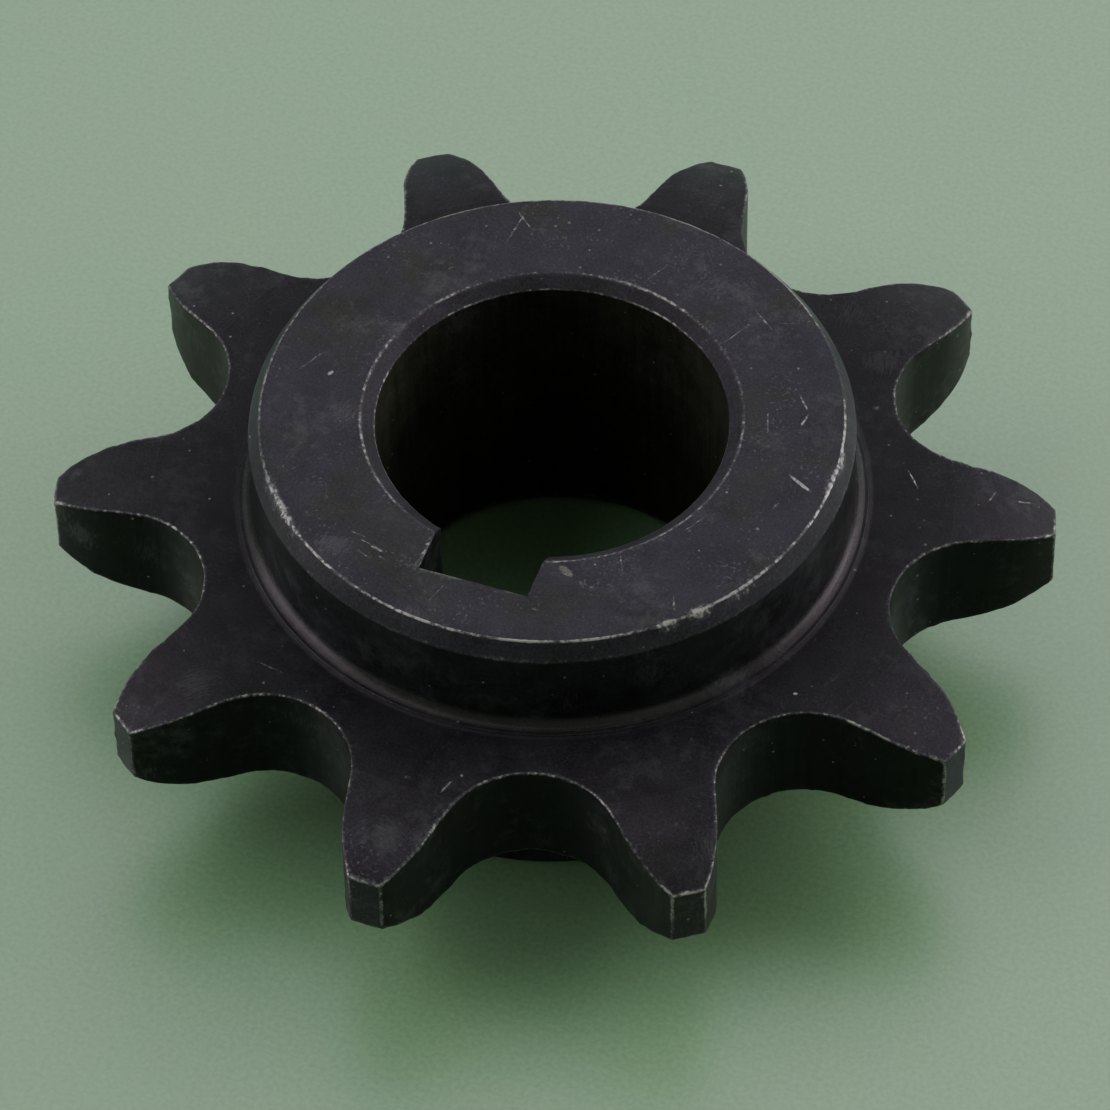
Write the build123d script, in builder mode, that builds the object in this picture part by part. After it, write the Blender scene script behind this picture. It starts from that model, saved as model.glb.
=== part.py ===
"""Roller-chain sprocket with a long hub on one side and a shorter boss on the other.

The blank is turned from one steel bar: plate, hub, boss and bore.  The tooth
gaps are then milled through the plate, and one keyway is broached along the
bore.  Lengths are in millimetres.  The sprocket stands on its boss, with the
shaft axis on Z, the origin in the middle of the boss face and the keyway
towards -Y.
"""

import os
from math import acos, atan2, cos, hypot, pi, radians, sin

from build123d import *

# ---- Chain that runs on the teeth ----
chain_pitch = 12.7
roller_diameter = 7.77
seat_play = 0.165  # the seat's radius is this much larger than the roller's

# ---- Teeth ----
tooth_count = 10
tip_height = 2.45  # how far the tips stand outside the pitch circle
seat_angle = 118.5  # arc of the round seat at the bottom of a gap
flank_length = 1.65  # straight working face above the seat
topping_radius = 7.0  # convex arc from the flank out to the tip
relief_depth = 4.7  # radial depth over which the tooth sides curve in
relief_drop = 1.2  # how far each side has curved in at the tip

# ---- Plate, hub and boss ----
plate_thickness = 5.55
hub_diameter = 27.5
hub_height = 5.2
hub_chamfer_width = 0.52  # measured on the hub's end face
hub_chamfer_length = 0.81  # measured along the hub's wall
boss_diameter = 27.5
boss_height = 4.6
boss_edge_break = 0.12
root_fillet = 0.6  # turning tool's nose radius where hub and boss meet the plate
root_step_land = 0.06  # flat ledge left between the hub's fillet and its step
root_step_height = 0.08  # ledge's height above the faced plate

# ---- Bore and keyway ----
bore_diameter = 16.0
bore_chamfer_width = 0.65  # measured on the end faces
bore_chamfer_length = 0.47  # measured along the bore
key_width = 5.0
key_side_clearance = 0.05
keyway_depth = 2.4  # below the bore's wall
keyway_offset_angle = 1.6  # the broach stood slightly off the tooth's centre line

# ---- Sizes that follow from those above ----
pitch_radius = chain_pitch / (2 * sin(pi / tooth_count))
tip_radius = pitch_radius + tip_height
hub_radius = hub_diameter / 2
boss_radius = boss_diameter / 2
bore_radius = bore_diameter / 2
seat_radius = roller_diameter / 2 + seat_play
root_step_radius = hub_radius + root_fillet + root_step_land
relief_start_radius = tip_radius - relief_depth
plate_bottom = boss_height
plate_top = plate_bottom + plate_thickness
overall_height = plate_top + hub_height
keyway_width = key_width + 2 * key_side_clearance
tooth_step = 360 / tooth_count
front_angle = -90  # direction of the tooth that the keyway points at
cutter_overrun = 3.0  # how far the milling cutter passes beyond the tips

# ---- One tooth gap, drawn on the X axis ----
# The seat is an arc about the roller's centre on the pitch circle.  A straight
# flank leaves it tangentially, and the topping arc carries on to the tip circle.
half_seat = radians(seat_angle / 2)
into_tooth = Vector(-cos(half_seat), sin(half_seat))  # square to the flank
along_flank = Vector(sin(half_seat), cos(half_seat))
seat_centre = Vector(pitch_radius, 0)
seat_end = seat_centre + into_tooth * seat_radius
flank_end = seat_end + along_flank * flank_length
topping_centre = flank_end + into_tooth * topping_radius

# The topping arc stops where it meets the tip circle, by the law of cosines in
# the triangle of sprocket centre, topping centre and tip corner.
centre_distance = hypot(topping_centre.X, topping_centre.Y)
centre_direction = atan2(topping_centre.Y, topping_centre.X)
corner_turn = acos(
    (centre_distance**2 + tip_radius**2 - topping_radius**2)
    / (2 * centre_distance * tip_radius)
)
corner_direction = centre_direction - corner_turn
tip_corner = Vector(cos(corner_direction), sin(corner_direction)) * tip_radius
overrun_corner = tip_corner * ((tip_radius + cutter_overrun) / tip_radius)

with BuildSketch() as tooth_gap:
    with BuildLine() as gap_outline:
        CenterArc(seat_centre, seat_radius, 180 - seat_angle / 2, seat_angle / 2)
        flank = Line(seat_end, flank_end)
        topping = TangentArc(flank @ 1, tip_corner, tangent=flank % 1)
        runout = Line(topping @ 1, overrun_corner)
        Line(runout @ 1, (overrun_corner.X, 0))
        mirror(about=Plane.XZ)
    make_face()

with BuildPart() as chain_sprocket:
    # The turned plate, with both sides curved in towards the rim so that the
    # chain's inner links can slip over the teeth.
    with BuildSketch(Plane.XZ):
        with BuildLine():
            top_face = Line((0, plate_top), (relief_start_radius, plate_top))
            rim_top = (tip_radius, plate_top - relief_drop)
            rim_bottom = (tip_radius, plate_bottom + relief_drop)
            TangentArc(top_face @ 1, rim_top, tangent=(1, 0))
            Line(rim_top, rim_bottom)
            bottom_face = Line((0, plate_bottom), (relief_start_radius, plate_bottom))
            TangentArc(bottom_face @ 1, rim_bottom, tangent=(1, 0))
            Line(bottom_face @ 0, top_face @ 0)
        make_face()
    revolve(axis=Axis.Z)

    # The tooth gaps, milled through the plate from face to face.
    with BuildSketch(Plane.XY.offset(plate_bottom)):
        with PolarLocations(0, tooth_count, start_angle=front_angle + tooth_step / 2):
            add(tooth_gap.sketch)
    extrude(amount=plate_thickness, mode=Mode.SUBTRACT)

    # The ledge at the hub's root, where two turning passes met, and the hub.
    with BuildSketch(Plane.XY.offset(plate_top)):
        Circle(root_step_radius)
    extrude(amount=root_step_height)
    with BuildSketch(Plane.XY.offset(plate_top)):
        Circle(hub_radius)
    extrude(amount=hub_height)
    hub_root = (
        chain_sprocket.edges()
        .filter_by(GeomType.CIRCLE)
        .filter_by_position(Axis.Z, plate_top, plate_top + hub_height, (False, False))
        .sort_by(SortBy.RADIUS)[0]
    )
    fillet(hub_root, radius=root_fillet)

    # The boss under the plate, which the sprocket rests on.
    with BuildSketch(Plane.XY.offset(plate_bottom)):
        Circle(boss_radius)
    extrude(amount=-boss_height)
    boss_root = (
        chain_sprocket.edges()
        .filter_by(GeomType.CIRCLE)
        .filter_by_position(Axis.Z, plate_bottom, plate_bottom)
        .sort_by(SortBy.RADIUS)
        .filter_by(lambda edge: abs(edge.radius - boss_radius) < root_fillet)[0]
    )
    fillet(boss_root, radius=root_fillet)

    # End faces: the hub's wide chamfer and the boss's broken edge.
    hub_face = chain_sprocket.faces().sort_by(Axis.Z)[-1]
    chamfer(
        hub_face.edges(),
        length=hub_chamfer_width,
        length2=hub_chamfer_length,
        reference=hub_face,
    )
    boss_face = chain_sprocket.faces().sort_by(Axis.Z)[0]
    chamfer(boss_face.edges(), length=boss_edge_break)

    # The bore, countersunk lightly at both ends.
    with BuildSketch():
        Circle(bore_radius)
    extrude(amount=overall_height, mode=Mode.SUBTRACT)
    for end_face in (
        chain_sprocket.faces().sort_by(Axis.Z)[-1],
        chain_sprocket.faces().sort_by(Axis.Z)[0],
    ):
        bore_mouth = end_face.edges().sort_by(SortBy.RADIUS)[0]
        chamfer(
            bore_mouth,
            length=bore_chamfer_width,
            length2=bore_chamfer_length,
            reference=end_face,
        )

    # The keyway, broached along the whole bore.
    with BuildSketch():
        with Locations(Rotation(0, 0, front_angle + keyway_offset_angle)):
            Rectangle(
                bore_radius + keyway_depth,
                keyway_width,
                align=(Align.MIN, Align.CENTER),
            )
    extrude(amount=overall_height, mode=Mode.SUBTRACT)

chain_sprocket.part.label = "chain_sprocket"

os.makedirs("parts", exist_ok=True)
export_step(chain_sprocket.part, "parts/chain_sprocket.step")
print(f"tip land width {2 * tip_radius * sin(radians(tooth_step / 2) - corner_direction):.2f} mm")
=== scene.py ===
# %% [markdown]
# # A chain sprocket in blackened steel
#
# This lesson models a small roller-chain sprocket the way its maker cuts it: a disc with a hub on
# each side is turned on a lathe, ten tooth gaps are milled through the disc, and a keyway is
# broached along the bore.  The solid part from the CAD model is loaded first.  It fixes the size
# and the place of everything, and the mesh made here stands in for it with finer edges and a finish.

# %% Load the frame
from math import acos, atan2, cos, pi, radians, sin, sqrt

import bmesh
import bpy
from mathutils import Matrix, Vector, noise


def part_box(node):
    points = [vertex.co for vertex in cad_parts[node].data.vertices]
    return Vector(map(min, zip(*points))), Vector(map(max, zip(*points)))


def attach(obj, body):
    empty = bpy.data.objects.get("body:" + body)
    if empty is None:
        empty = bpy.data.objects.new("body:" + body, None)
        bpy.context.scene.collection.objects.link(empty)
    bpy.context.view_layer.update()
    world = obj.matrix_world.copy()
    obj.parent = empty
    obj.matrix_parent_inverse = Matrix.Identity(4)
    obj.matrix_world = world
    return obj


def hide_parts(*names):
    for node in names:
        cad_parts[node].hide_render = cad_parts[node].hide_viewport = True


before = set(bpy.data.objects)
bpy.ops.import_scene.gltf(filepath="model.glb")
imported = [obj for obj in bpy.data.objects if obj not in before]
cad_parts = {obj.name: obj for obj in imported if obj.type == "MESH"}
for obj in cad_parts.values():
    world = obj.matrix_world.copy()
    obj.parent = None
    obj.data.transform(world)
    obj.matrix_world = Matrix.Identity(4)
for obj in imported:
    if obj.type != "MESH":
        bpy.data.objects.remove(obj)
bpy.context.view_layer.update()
node_low, node_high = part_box("chain_sprocket")

# %% [markdown]
# ## Sizes
#
# Blender works in metres here, and a sprocket is drawn in millimetres, so every length below is
# written as millimetres times `MM`.  The tip circle and the overall height come from the frame,
# and the others are the maker's own sizes.  Angles are worked out from them, never typed in.

# %% Name the maker's sizes
MM = 0.001
tooth_count = 10
chain_pitch = 12.7 * MM
seat_radius = 4.05 * MM
seat_turn = radians(118.5 / 2)
flank_length = 1.65 * MM
topping_radius = 7.0 * MM
relief_depth = 4.7 * MM
relief_drop = 1.2 * MM

plate_thickness = 5.55 * MM
boss_height = 4.6 * MM
hub_radius = 13.75 * MM
hub_chamfer_width = 0.52 * MM
hub_chamfer_length = 0.81 * MM
boss_edge_break = 0.12 * MM
root_fillet = 0.6 * MM
root_step_land = 0.06 * MM
root_step_height = 0.08 * MM

bore_radius = 8.0 * MM
bore_chamfer_width = 0.65 * MM
bore_chamfer_length = 0.47 * MM
keyway_width = 5.1 * MM
keyway_floor = 10.4 * MM
front_angle = radians(-90)
keyway_angle = front_angle + radians(1.6)

overall_height = node_high[2] - node_low[2]
tip_radius = node_high[1]
pitch_radius = chain_pitch / (2 * sin(pi / tooth_count))
half_step = pi / tooth_count
plate_top = boss_height + plate_thickness
plate_middle = boss_height + plate_thickness / 2
relief_start = tip_radius - relief_depth
relief_radius = (relief_depth**2 + relief_drop**2) / (2 * relief_drop)
WELD = 0.001 * MM  # points nearer to each other than this are one point
NEAR = 0.01 * MM  # how far off a corner or a wall a point may lie and still count as on it
print(f"tip circle {tip_radius / MM:.2f} mm, pitch circle {pitch_radius / MM:.2f} mm in radius")

# %% [markdown]
# ## Half a tooth gap, drawn as a wire
#
# A tooth gap is a chain of arcs: the round seat that holds the chain's roller, a short straight
# flank, the convex topping arc, and the narrow land left of the turned tip circle.  It could be
# typed in as points, but `spin` draws true arcs from a single vertex, and a spin with a step
# instead of a turn draws the straight.  Only half a gap and half a tooth are drawn, because the
# rest is mirrored.  The same function draws the line again a little way into the metal, which
# will give the tooth's face a narrow band along its edge.

# %% Draw the wire from the middle of a gap to the middle of a tooth
edge_band = 0.25 * MM
seat_centre = Vector((pitch_radius, 0, 0))
into_tooth = Vector((-cos(seat_turn), sin(seat_turn), 0))
along_flank = Vector((sin(seat_turn), cos(seat_turn), 0))
flank_foot = seat_centre + into_tooth * seat_radius
flank_head = flank_foot + along_flank * flank_length
topping_centre = flank_head + into_tooth * topping_radius
Z_AXIS = Vector((0, 0, 1))

SEAT_STEPS = 18
SEAT_TOP_STEPS = 3
FLANK_STEPS = 7
TOPPING_STEPS = 12
LAND_STEPS = 5


def corner_angle(topping, tip):
    """Direction, seen from the shaft, in which the topping arc meets the tip circle."""
    distance = topping_centre.length
    turn = acos((distance**2 + tip**2 - topping**2) / (2 * distance * tip))
    return atan2(topping_centre.y, topping_centre.x) - turn


# the turn along the inset seat's arc at which it reaches the radius where the relief starts
inset_seat = seat_radius + edge_band
relief_turn = acos(
    (pitch_radius**2 + inset_seat**2 - relief_start**2) / (2 * pitch_radius * inset_seat)
)


def draw_outline(bm, inset):
    """Draws the outline as one wire, this far into the metal, and returns its vertices in order."""
    seat = seat_radius + inset
    topping = topping_radius - inset
    tip = tip_radius - inset
    corner = corner_angle(topping, tip)
    corner_point = Vector((cos(corner), sin(corner), 0)) * tip
    topping_turn = (-into_tooth).angle(corner_point - topping_centre)
    pen = [bm.verts.new((pitch_radius - seat, 0, 0))]
    wire = list(pen)

    def draw(centre, turn, steps, step=Vector()):
        for _ in range(steps):
            result = bmesh.ops.spin(
                bm, geom=pen, cent=centre, axis=Z_AXIS, angle=turn / steps, dvec=step, steps=1
            )
            pen[:] = [item for item in result["geom_last"] if isinstance(item, bmesh.types.BMVert)]
            wire.extend(pen)

    draw(seat_centre, -relief_turn, SEAT_STEPS)
    draw(seat_centre, relief_turn - seat_turn, SEAT_TOP_STEPS)
    draw(seat_centre, 0, FLANK_STEPS, along_flank * flank_length / FLANK_STEPS)
    draw(topping_centre, topping_turn, TOPPING_STEPS)
    draw(Vector(), half_step - corner, LAND_STEPS)
    return wire


def edges_along(wire):
    """The edges between neighbours in a list of vertices."""
    edges = []
    for a, b in zip(wire, wire[1:]):
        edges.extend(edge for edge in a.link_edges if edge.other_vert(a) is b)
    return edges


def report(stage):
    """Prints how far the mesh has come."""
    open_edges = sum(edge.is_boundary for edge in bm.edges)
    state = f"{open_edges} open edges" if open_edges else f"closed, {bm.calc_volume() / MM**3:.0f} mm3"
    print(f"{stage}: {len(bm.faces)} faces, {state}")


bm = bmesh.new()
outline = draw_outline(bm, 0.0)
inner_line = draw_outline(bm, edge_band)
bmesh.ops.bridge_loops(bm, edges=edges_along(outline) + edges_along(inner_line))
report(f"outline of {len(outline)} points and its band")

# %% [markdown]
# ## The tooth's face
#
# The band runs along the flank, and the face inside it is filled by a small ladder.  `extrude`
# copies the band's inner line, and each copied vertex turns about the shaft by its share of the
# angle left to the tooth's middle.  The rows are then arcs about the shaft, as the lathe cut them,
# so the curve of the tooth's side can be given to them by radius alone.

# %% Fill the tooth's face and the flat ring inside it
join_radius = 15.6 * MM
face_row_start = SEAT_STEPS
face_row_end = SEAT_STEPS + SEAT_TOP_STEPS + FLANK_STEPS + TOPPING_STEPS


def extrude_wire(bm, edges):
    """Extrudes a wire and returns the new wire's vertices and edges."""
    result = bmesh.ops.extrude_edge_only(bm, edges=edges)["geom"]
    verts = [item for item in result if isinstance(item, bmesh.types.BMVert)]
    fresh = set(verts)
    wire = [item for item in result if isinstance(item, bmesh.types.BMEdge)]
    return verts, [edge for edge in wire if all(vert in fresh for vert in edge.verts)]


side_wire = edges_along(inner_line[face_row_start:face_row_end + 1])
crease = [inner_line[face_row_start]]
for steps_left in range(LAND_STEPS, 0, -1):
    verts, side_wire = extrude_wire(bm, side_wire)
    for vert in verts:
        angle_left = half_step - atan2(vert.co.y, vert.co.x)
        vert.co = Matrix.Rotation(angle_left / steps_left, 3, "Z") @ vert.co
    crease.append(min(verts, key=lambda vert: vert.co.length))

ring_wire = edges_along(inner_line[:face_row_start + 1]) + edges_along(crease)
for vert in extrude_wire(bm, ring_wire)[0]:
    vert.co = vert.co.normalized() * join_radius
bmesh.ops.remove_doubles(bm, verts=bm.verts[:], dist=WELD)
report("half a tooth's face")

# %% [markdown]
# ## From a flat face to a whole toothed ring
#
# The face now gets its height: flat inside, and curved down towards the tip, where the lathe
# thinned the tooth so that the chain's links slip over it.  The outline is extruded down to the
# plate's mid-plane, and the rest is symmetry: `mirror` across the mid-plane, `mirror` across the
# gap, and `spin` for ten copies.  Working on a fortieth keeps every tooth the same.

# %% Raise the face, drop the wall and mirror it
WALL_STEPS = 6
half_thickness = plate_thickness / 2


def face_height(radius):
    """Height of the plate's face above its mid-plane at this distance from the shaft."""
    past_start = max(radius - relief_start, 0.0)
    return half_thickness - relief_radius + sqrt(relief_radius**2 - past_start**2)


for vert in bm.verts:
    vert.co.z = face_height(vert.co.xy.length)
wall_wire = edges_along(outline)
for step in range(WALL_STEPS):
    verts, wall_wire = extrude_wire(bm, wall_wire)
    for vert in verts:
        top = face_height(vert.co.xy.length)
        vert.co.z = (top - edge_band) * (1 - step / (WALL_STEPS - 1))

for axis in "ZY":
    everything = bm.verts[:] + bm.edges[:] + bm.faces[:]
    bmesh.ops.mirror(bm, geom=everything, merge_dist=WELD, axis=axis)
everything = bm.verts[:] + bm.edges[:] + bm.faces[:]
bmesh.ops.spin(
    bm, geom=everything, cent=(0, 0, 0), axis=Z_AXIS, angle=2 * half_step * (tooth_count - 1),
    steps=tooth_count - 1, use_duplicate=True,
)
bmesh.ops.remove_doubles(bm, verts=bm.verts[:], dist=WELD)
to_front = Matrix.Rotation(front_angle - half_step, 3, "Z")
bmesh.ops.rotate(bm, verts=bm.verts[:], cent=(0, 0, 0), matrix=to_front)
bmesh.ops.translate(bm, verts=bm.verts[:], vec=(0, 0, plate_middle))
report("toothed ring")

# %% [markdown]
# ## Hub, boss and bore, turned from one ring
#
# Everything inside the teeth was turned on the lathe.  A profile could be spun, but the ring that
# the teeth end in is already there, so it is carried on instead: each extrusion takes the ring to
# the next radius and height, up the hub, across its end face, down the bore, under the boss and
# back out to the teeth.  Rings stand close together beside the corners that wear, because the wear
# is written on the points and fades out over one face.

# %% Carry the ring round the hub, the bore and the boss
FILLET_STEPS = 8
line_band = 0.12 * MM
rim_radius = hub_radius - hub_chamfer_width
mouth_radius = bore_radius + bore_chamfer_width
ledge_radius = hub_radius + root_fillet + root_step_land
key_clear_radius = 11.5 * MM


def fillet_stations(centre_height, sense):
    """Points down a hub's root fillet: sense 1 for the hub on top, -1 for the boss beneath."""
    centre = hub_radius + root_fillet
    turns = [step / FILLET_STEPS * pi / 2 for step in range(FILLET_STEPS + 1)]
    return [
        (centre - root_fillet * sin(turn), centre_height - sense * root_fillet * cos(turn))
        for turn in turns
    ]


def beside(corner, towards, distance=edge_band):
    """A point this far from a corner of the profile, in the direction of the next corner."""
    step = Vector(towards) - Vector(corner)
    return tuple(Vector(corner) + step.normalized() * distance)


ledge_foot = (ledge_radius, plate_top)
ledge_top = (ledge_radius, plate_top + root_step_height)
hub_fillet = fillet_stations(plate_top + root_step_height + root_fillet, 1)
wall_top = (hub_radius, overall_height - hub_chamfer_length)
rim = (rim_radius, overall_height)
mouth = (mouth_radius, overall_height)
bore_top = (bore_radius, overall_height - bore_chamfer_length)
bore_bottom = (bore_radius, bore_chamfer_length)
lower_mouth = (mouth_radius, 0.0)
boss_rim = (hub_radius - boss_edge_break, 0.0)
boss_wall_foot = (hub_radius, boss_edge_break)
boss_fillet = fillet_stations(boss_height - root_fillet, -1)[::-1]
hub_face_rings = [(rim_radius - step, overall_height) for step in (line_band, 2 * edge_band, 3 * edge_band)]
mouth_rings = [(mouth_radius + step * edge_band, overall_height) for step in (7, 6, 5, 4, 3, 2)]

profile = [
    beside(ledge_foot, (join_radius, plate_top)), ledge_foot, ledge_top, *hub_fillet,
    beside(wall_top, (hub_radius, plate_top)), wall_top, beside(wall_top, rim),
    beside(rim, wall_top, line_band), rim, *hub_face_rings,
    (key_clear_radius, overall_height), *mouth_rings, (mouth_radius + line_band, overall_height),
    mouth, beside(mouth, bore_top, line_band), beside(bore_top, mouth, line_band), bore_top,
    beside(bore_top, bore_bottom, line_band), beside(bore_bottom, bore_top), bore_bottom,
    beside(bore_bottom, lower_mouth), beside(lower_mouth, bore_bottom), lower_mouth,
    beside(lower_mouth, boss_rim), (key_clear_radius, 0.0), beside(boss_rim, lower_mouth),
    boss_rim, boss_wall_foot, *boss_fillet, (join_radius, boss_height),
]

ring = [edge for edge in bm.edges if edge.is_boundary and edge.verts[0].co.z > plate_middle]
for radius, height in profile:
    verts, ring = extrude_wire(bm, ring)
    for vert in verts:
        vert.co = (*(vert.co.xy.normalized() * radius), height)
bmesh.ops.remove_doubles(bm, verts=bm.verts[:], dist=WELD)
bmesh.ops.recalc_face_normals(bm, faces=bm.faces[:])
report("turned and milled body")

# %% [markdown]
# ## The keyway
#
# A broach with one square tooth is drawn through the bore to cut the keyway.  A Boolean could do
# it, but three `bisect_plane` cuts leave the mesh easier to round afterwards: they slice the faces
# along the two walls and the floor, what lies between them is deleted, and the three walls are
# filled.  The ring points beside each wall are slid onto it first, so that no slivers are left,
# and three more slices outside the slot keep a narrow band of faces along its edges.

# %% Slide the bore's points onto the keyway's walls
half_key = keyway_width / 2
to_key = Matrix.Rotation(-keyway_angle, 3, "Z")
from_key = Matrix.Rotation(keyway_angle, 3, "Z")


def near_key(point):
    """True where a point lies round the keyway, well inside the hub's rim."""
    local = to_key @ point
    return local.x > 0 and abs(local.y) < half_key + 4 * edge_band and local.xy.length < key_clear_radius


ring_stations = [station for station in profile if station[0] < keyway_floor - edge_band]
for radius, height in ring_stations:
    ring_points = [
        vert for vert in bm.verts
        if abs(vert.co.xy.length - radius) < WELD and abs(vert.co.z - height) < WELD
    ]
    for side in (-1, 1):
        for wall in (half_key, half_key + edge_band):
            turn = side * atan2(wall, sqrt(radius**2 - wall**2))
            target = Matrix.Rotation(turn, 2) @ Vector((radius, 0))
            nearest = min(ring_points, key=lambda vert: ((to_key @ vert.co).xy - target).length)
            nearest.co = from_key @ Vector((*target, height))

# %% Slice the faces, open the slot and fill its walls
def cut_along(bm, point, normal):
    """Slices the faces round the keyway by one plane, given in the keyway's own directions."""
    faces = [face for face in bm.faces if near_key(face.calc_center_median())]
    edges = {edge for face in faces for edge in face.edges}
    verts = {vert for face in faces for vert in face.verts}
    bmesh.ops.bisect_plane(
        bm, geom=[*verts, *edges, *faces], dist=0.004 * MM,
        plane_co=from_key @ Vector(point), plane_no=from_key @ Vector(normal),
    )


for wall in (half_key, -half_key, half_key + edge_band, -half_key - edge_band):
    cut_along(bm, (0, wall, 0), (0, 1, 0))
for floor_depth in (keyway_floor, keyway_floor + edge_band):
    cut_along(bm, (floor_depth, 0, 0), (1, 0, 0))
inside = []
for face in bm.faces:
    local = to_key @ face.calc_center_median()
    if 0 < local.x < keyway_floor and abs(local.y) < half_key:
        inside.append(face)
bmesh.ops.delete(bm, geom=inside, context="FACES")

slot_edges = [edge for edge in bm.edges if edge.is_boundary]
floor_corners = {}
for vert in {vert for edge in slot_edges for vert in edge.verts}:
    local = to_key @ vert.co
    if abs(local.x - keyway_floor) < NEAR and abs(abs(local.y) - half_key) < NEAR:
        floor_corners.setdefault(local.y > 0, []).append(vert)
for pair in floor_corners.values():
    slot_edges.append(bm.edges.new(pair))


def in_plane(edge, axis, distance):
    """True where both ends of an edge lie at this distance along one of the keyway's directions."""
    return all(abs((to_key @ vert.co)[axis] - distance) < NEAR for vert in edge.verts)


walls = []
for axis, distance in ((1, half_key), (1, -half_key), (0, keyway_floor)):
    wall_edges = [edge for edge in slot_edges if in_plane(edge, axis, distance)]
    walls += bmesh.ops.contextual_create(bm, geom=wall_edges)["faces"]
bmesh.ops.recalc_face_normals(bm, faces=bm.faces[:])
bmesh.ops.inset_individual(bm, faces=walls, thickness=edge_band, use_even_offset=True)
report(f"body with {len(walls)} keyway walls")

# %% [markdown]
# ## Easing the edges
#
# No machined edge is a perfect line: deburring and handling leave a few hundredths of a millimetre
# of round, and that round is what catches the light.  A Bevel modifier would treat every edge
# alike, so the edges are sorted first.  The same step writes a `wear` value on the rounded points,
# and the finish will read it: bare metal shows where the value, broken up by noise, is high.

# %% Sort the sharp edges
SHARP = radians(25)
EDGE_SEGMENTS = 2


def on_corner(*corners):
    """A test for edges that run round one of these corners of the turned profile."""
    def test(edge):
        ends = [(vert.co.xy.length, vert.co.z) for vert in edge.verts]
        return any(
            all(abs(radius - corner[0]) < NEAR and abs(height - corner[1]) < NEAR for radius, height in ends)
            for corner in corners
        )
    return test


def on_slot(edge):
    """True where an edge runs round one of the keyway's walls."""
    at_wall = in_plane(edge, 1, half_key) or in_plane(edge, 1, -half_key) or in_plane(edge, 0, keyway_floor)
    return at_wall and all(near_key(vert.co) for vert in edge.verts)


def on_tooth(place):
    """A test for edges of the teeth: the ones on "top", the ones "beneath" or the "upright" ones."""
    def test(edge):
        first, second = (vert.co for vert in edge.verts)
        if min(first.xy.length, second.xy.length) <= join_radius:
            return False
        if (first - second).xy.length < NEAR:
            return place == "upright"
        return place == ("top" if first.z > plate_middle else "beneath")
    return test


edge_kinds = {
    # which edges, how far they are rounded (mm), and how worn they are
    "tooth tops": (on_tooth("top"), 0.05, 0.57),
    "tooth undersides": (on_tooth("beneath"), 0.05, 0.46),
    "tip corners": (on_tooth("upright"), 0.05, 0.58),
    "rim": (on_corner(rim), 0.055, 0.7),
    "chamfer foot": (on_corner(wall_top), 0.06, 0.41),
    "ledge": (on_corner(ledge_top), 0.03, 0.3),
    "boss": (on_corner(boss_rim, boss_wall_foot), 0.03, 0.3),
    "slot": (on_slot, 0.035, 0.46),
    "bore mouth": (on_corner(mouth, lower_mouth), 0.045, 0.56),
    "bore": (on_corner(bore_top, bore_bottom), 0.04, 0.55),
}
sharp_edges = [edge for edge in bm.edges if edge.calc_face_angle_signed(0) > SHARP]
edge_groups = {name: [edge for edge in sharp_edges if kind[0](edge)] for name, kind in edge_kinds.items()}
print({name: len(edges) for name, edges in edge_groups.items()}, "of", len(sharp_edges))

# %% Round them and mark the wear
wear = bm.verts.layers.float.new("wear")
for name, (_, width, worn) in edge_kinds.items():
    rounded = bmesh.ops.bevel(
        bm, geom=[edge for edge in edge_groups[name] if edge.is_valid], offset=width * MM,
        offset_type="OFFSET", segments=EDGE_SEGMENTS, profile=0.5, affect="EDGES",
        clamp_overlap=True, material=-1,
    )
    for vert in rounded["verts"]:
        vert[wear] = max(vert[wear], worn)
bmesh.ops.dissolve_degenerate(bm, dist=2 * WELD, edges=bm.edges[:])
report("body with rounded edges")

# %% [markdown]
# ## Burrs, knocks and nicks
#
# A real edge wavers.  Where it was knocked it has lost a little metal, and the milling cutter left
# small burrs along the edges of the teeth, where it broke into and out of the plate.  Moving the
# rounded points along their normals by smooth noise gives both, and the shape then shows in the
# outline and in every light.  The other edges have no burrs and smaller dents.  A few places were
# knocked or rubbed harder.  They are named one by one, with place, reach, depth and bareness.

# %% Waver the edges
BODY_DENT = 0.04 * MM
TOOTH_DENT = 0.1 * MM
TOOTH_BURR = 0.08 * MM
BURR_START = 0.2  # noise below minus this raises a burr
DENT_LENGTH = 0.7  # of one dent, in millimetres
RUB_LENGTH = 3.2  # of a stretch that is rubbed alike, in millimetres
TIP_RUB_AND_SHEEN = 0.16

bm.normal_update()
for vert in bm.verts:
    if vert[wear] == 0:
        continue
    place = vert.co / MM
    knocks = noise.noise(place / DENT_LENGTH) + 0.5 * noise.noise(place / DENT_LENGTH * 3)
    if vert.co.xy.length > join_radius:
        shift = TOOTH_BURR * max(-knocks - BURR_START, 0.0) - TOOTH_DENT * max(knocks, 0.0) * vert[wear]
    else:
        shift = -BODY_DENT * max(knocks, 0.0) * vert[wear]
    vert.co += vert.normal * shift
    vert[wear] *= 1 + 0.5 * noise.noise(place / RUB_LENGTH)
    # the top edges at the tips get extra wear, partly real rubbing and partly painted sheen that the lamps
    # don't give the tips
    if vert.co.xy.length > tip_radius - 2 * edge_band and vert.co.z > plate_middle:
        vert[wear] += TIP_RUB_AND_SHEEN

# %% Rub the rings beside the worn edges
rubbed_rings = [
    # inner and outer radius, and how rubbed
    (bore_radius + 0.05 * MM, mouth_radius - 0.05 * MM, 0.22),
    (mouth_radius + 0.1 * MM, mouth_radius + 2.2 * edge_band, 0.12),
    (rim_radius + 0.1 * MM, hub_radius - 0.05 * MM, 0.16),
]
for inner, outer, rubbing in rubbed_rings:
    for vert in bm.verts:
        if inner < vert.co.xy.length < outer and vert[wear] < rubbing:
            vert[wear] = rubbing

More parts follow.
